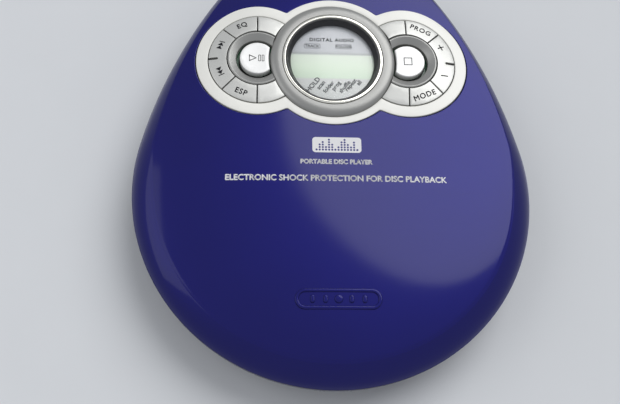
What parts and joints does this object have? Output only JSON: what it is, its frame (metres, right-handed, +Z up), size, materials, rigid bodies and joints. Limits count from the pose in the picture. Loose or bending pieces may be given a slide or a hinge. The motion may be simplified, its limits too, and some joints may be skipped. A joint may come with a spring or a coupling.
{
  "type": "portable disc player",
  "caption": "Teardrop portable disc player with a domed hinged lid, a display and key rings in the lid, side sockets and a battery door underneath.",
  "frame": {"origin": "under the middle of the player's outline, at the bottom of its feet", "axes": "+Z up, +Y towards the hinge at the narrow end, +X towards the sockets"},
  "size_m": [0.136, 0.1546, 0.0281],
  "materials": {
    "lid_lacquer": "glossy lacquer",
    "case_plastic": "satin moulded",
    "panel_silver": "satin silver-white",
    "bezel_grey": "satin",
    "bright_trim": "polished",
    "black_plastic": "fine matt",
    "grey_plastic": "fine moulded grain",
    "knob_grey": "satin",
    "display_glass": "clear",
    "display_green": "liquid crystal cell",
    "board_green": "solder mask",
    "chip_black": "moulded",
    "steel": "ground",
    "spring_steel": "drawn wire",
    "copper_film": "polyimide film",
    "rubber": "matt",
    "silicone": "matt",
    "white_plastic": "satin",
    "lens_glass": "coated",
    "capacitor_can": "sleeved"
  },
  "bodies": {
    "case": {"bottom_case": "case_plastic", "battery_springs": "spring_steel", "battery_plates": "steel", "feet": "rubber", "case_screws": "steel", "deck": "grey_plastic", "main_board": "board_green", "signal_chip": "chip_black", "memory_chip": "chip_black", "driver_chip": "chip_black", "capacitors": "capacitor_can", "flex_connector": "white_plastic", "flex_cable": "copper_film", "phone_jack": "black_plastic", "line_jack": "black_plastic", "power_socket": "black_plastic", "power_pin": "steel", "slider_spring": "spring_steel", "drive_chassis": "steel", "dampers": "rubber", "chassis_screws": "steel", "spindle_motor": "steel", "guide_rods": "steel", "sled_motor": "steel", "hinge_pin": "steel", "lid_spring": "spring_steel"},
    "battery_door": {"battery_door": "case_plastic"},
    "hold_switch": {"hold_knob": "knob_grey"},
    "opening_slider": {"open_slider": "knob_grey"},
    "lid_sensor": {"lid_sensor_pin": "white_plastic"},
    "spindle": {"spindle_shaft": "steel", "turntable": "black_plastic"},
    "sled": {"pickup_sled": "grey_plastic"},
    "lens": {"lens_holder": "black_plastic", "objective_lens": "lens_glass"},
    "screw": {"lead_screw": "steel"},
    "lid": {"lid_shell": "lid_lacquer", "lid_frame": "grey_plastic", "lid_screws": "steel", "control_panel": "panel_silver", "bezel_ring": "bezel_grey", "bright_ring": "bright_trim", "display_collar": "black_plastic", "display_window": "display_glass", "display_module": "display_green", "key_board": "board_green", "key_mat": "silicone", "key_collars": "bezel_grey"},
    "play": {"play_key": "panel_silver"},
    "stop": {"stop_key": "panel_silver"},
    "equaliser": {"equaliser_key": "panel_silver"},
    "buffer": {"buffer_key": "panel_silver"},
    "program": {"program_key": "panel_silver"},
    "mode": {"mode_key": "panel_silver"},
    "skip": {"skip_rocker": "panel_silver"},
    "volume": {"volume_rocker": "panel_silver"}
  },
  "joints": [
    {"name": "lid_hinge", "type": "hinge", "parent": "case", "child": "lid", "pos_m": [0, 0.07115, 0.015], "axis": [-1, 0, 0], "range_deg": [0, 68]},
    {"name": "battery_door_hinge", "type": "hinge", "parent": "case", "child": "battery_door", "pos_m": [0, -0.02775, 0.0023], "axis": [1, 0, 0], "range_deg": [0, 105]},
    {"name": "hold_slide", "type": "slide", "parent": "case", "child": "hold_switch", "axis": [0, 1, 0], "range_m": [0, 0.003]},
    {"name": "opening_slide", "type": "slide", "parent": "case", "child": "opening_slider", "axis": [-1, 0, 0], "range_m": [0, 0.004], "stiffness_N_per_m": 250},
    {"name": "lid_sensor_press", "type": "slide", "parent": "case", "child": "lid_sensor", "axis": [0, 0, -1], "range_m": [0, 0.001], "stiffness_N_per_m": 200},
    {"name": "spindle_turn", "type": "hinge", "parent": "case", "child": "spindle", "pos_m": [0, -0.00925, 0.0192], "axis": [0, 0, 1], "continuous": true},
    {"name": "sled_slide", "type": "slide", "parent": "case", "child": "sled", "axis": [0, 1, 0], "range_m": [0, 0.033]},
    {"name": "screw_turn", "type": "hinge", "parent": "case", "child": "screw", "pos_m": [0.018, 0.03075, 0.0089], "axis": [0, 1, 0], "range_deg": [0, 3970]},
    {"name": "lens_focus", "type": "slide", "parent": "sled", "child": "lens", "axis": [0, 0, 1], "range_m": [-0.0003, 0.0004], "stiffness_N_per_m": 100},
    {"name": "play_press", "type": "slide", "parent": "lid", "child": "play", "axis": [0, 0, -1], "range_m": [0, 0.0005], "stiffness_N_per_m": 400},
    {"name": "stop_press", "type": "slide", "parent": "lid", "child": "stop", "axis": [0, 0, -1], "range_m": [0, 0.0005], "stiffness_N_per_m": 400},
    {"name": "equaliser_press", "type": "slide", "parent": "lid", "child": "equaliser", "axis": [0, 0, -1], "range_m": [0, 0.0005], "stiffness_N_per_m": 400},
    {"name": "buffer_press", "type": "slide", "parent": "lid", "child": "buffer", "axis": [0, 0, -1], "range_m": [0, 0.0005], "stiffness_N_per_m": 400},
    {"name": "program_press", "type": "slide", "parent": "lid", "child": "program", "axis": [0, 0, -1], "range_m": [0, 0.0005], "stiffness_N_per_m": 400},
    {"name": "mode_press", "type": "slide", "parent": "lid", "child": "mode", "axis": [0, 0, -1], "range_m": [0, 0.0005], "stiffness_N_per_m": 400},
    {"name": "skip_rock", "type": "hinge", "parent": "lid", "child": "skip", "pos_m": [-0.04015, 0.03595, 0.0245], "axis": [1, 0, 0], "range_deg": [-2.4, 2.4], "stiffness_Nm_per_rad": 0.05},
    {"name": "volume_rock", "type": "hinge", "parent": "lid", "child": "volume", "pos_m": [0.04015, 0.03595, 0.0245], "axis": [1, 0, 0], "range_deg": [-2.4, 2.4], "stiffness_Nm_per_rad": 0.05}
  ],
  "couplings": [
    {"joint": "screw_turn", "follows": "sled_slide", "rad_per_m": 2094.4}
  ]
}
